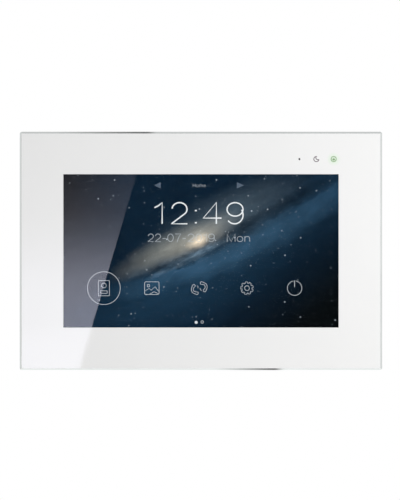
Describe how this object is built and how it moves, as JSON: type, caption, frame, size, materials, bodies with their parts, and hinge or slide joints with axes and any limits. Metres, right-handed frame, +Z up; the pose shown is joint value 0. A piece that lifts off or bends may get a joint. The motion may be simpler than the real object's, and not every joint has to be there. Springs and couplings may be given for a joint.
{
  "type": "video intercom monitor",
  "caption": "Wall-mounted touch-screen monitor for a video door intercom: flat white glass front, slim white case, steel hook bracket, rear wiring bay.",
  "frame": {"origin": "centre of the wall bracket's screw pattern, on the bracket's back face where it meets the wall", "axes": "+Z up, +X to the right as seen from the front, +Y into the wall; the front looks towards -Y"},
  "size_m": [0.203, 0.0205, 0.1334],
  "materials": {
    "zinc_steel": "zinc-plated pressed sheet, satin",
    "front_glass": "clear tempered glass with a polished bevel",
    "white_print": "white ink behind the glass, glossy through it",
    "black_foam": "fine closed-cell foam",
    "clear_adhesive": "clear adhesive film",
    "sensor_glass": "thin clear glass",
    "amber_film": "amber polyimide film with copper tracks",
    "module_steel": "thin tinned steel, satin",
    "display": "lit picture behind glass",
    "white_film": "diffusing film",
    "clear_acrylic": "clear moulded acrylic",
    "lamp_strip": "white strip with yellow lamp dies",
    "screw_steel": "nickel-plated screws",
    "white_case": "white ABS with a fine spark-eroded grain",
    "circuit_board": "green solder mask over copper tracks",
    "chip_black": "black moulding compound",
    "tinned_steel": "tinned sheet, fine grain",
    "ferrite": "dark grey pressed ferrite",
    "can_aluminium": "drawn aluminium can",
    "cell_steel": "polished steel cell",
    "cream_nylon": "cream moulded nylon",
    "grey_nylon": "grey moulded nylon",
    "red_nylon": "red moulded nylon",
    "pin_gold": "gold-plated square pins",
    "card_black": "smooth black card",
    "button_orange": "orange moulded button",
    "lamp_yellow": "lamp with a yellow lens",
    "black_rubber": "soft black rubber",
    "cone_paper": "pressed fibre cone",
    "magnet_steel": "plated magnet cup",
    "red_lead": "red insulated lead",
    "grey_lead": "grey screened lead",
    "blue_lead": "blue insulated lead",
    "label_film": "blank silver polyester label"
  },
  "bodies": {
    "bracket": {"wall_bracket": "zinc_steel"},
    "monitor": {"front_glass": "front_glass", "glass_print": "white_print", "glass_tape": "black_foam", "optical_adhesive": "clear_adhesive", "touch_sensor": "sensor_glass", "touch_ribbon": "amber_film", "lcd_gasket": "black_foam", "lcd_bezel": "module_steel", "lcd_cell": "display", "diffuser_films": "white_film", "light_guide": "clear_acrylic", "backlight_strip": "lamp_strip", "lcd_tray": "module_steel", "lcd_clamps": "zinc_steel", "clamp_screws": "screw_steel", "display_ribbon": "amber_film", "front_frame": "white_case", "rear_cover": "white_case", "case_screws": "screw_steel", "main_board": "circuit_board", "board_screws": "screw_steel", "processor": "chip_black", "memory_chips": "chip_black", "video_decoders": "chip_black", "audio_amplifier": "chip_black", "crystals": "tinned_steel", "shield_can": "tinned_steel", "power_coils": "ferrite", "power_capacitors": "can_aluminium", "clock_cell_holder": "chip_black", "clock_cell": "cell_steel", "door_sockets": "cream_nylon", "camera_sockets": "grey_nylon", "power_socket": "red_nylon", "socket_pins": "pin_gold", "display_socket": "cream_nylon", "touch_socket": "chip_black", "lead_sockets": "cream_nylon", "card_socket": "tinned_steel", "reset_switch": "tinned_steel", "indicator_board": "circuit_board", "indicator_lamps": "lamp_yellow", "light_guides": "clear_acrylic", "microphone": "can_aluminium", "microphone_boot": "black_rubber", "speaker_frame": "chip_black", "speaker_cone": "cone_paper", "speaker_magnet": "magnet_steel", "speaker_gasket": "black_foam", "speaker_lead": "red_lead", "microphone_lead": "grey_lead", "indicator_lead": "blue_lead", "rating_label": "label_film"},
    "card": {"memory_card": "card_black"},
    "button": {"reset_button": "button_orange"}
  },
  "joints": [
    {"name": "panel_lift", "type": "slide", "parent": "bracket", "child": "monitor", "axis": [0, 0, 1], "range_m": [0, 0.0062]},
    {"name": "card_slide", "type": "slide", "parent": "monitor", "child": "card", "axis": [1, 0, 0], "range_m": [0, 0.014]},
    {"name": "reset_press", "type": "slide", "parent": "monitor", "child": "button", "axis": [-1, 0, 0], "range_m": [0, 0.00025], "stiffness_N_per_m": 600}
  ]
}
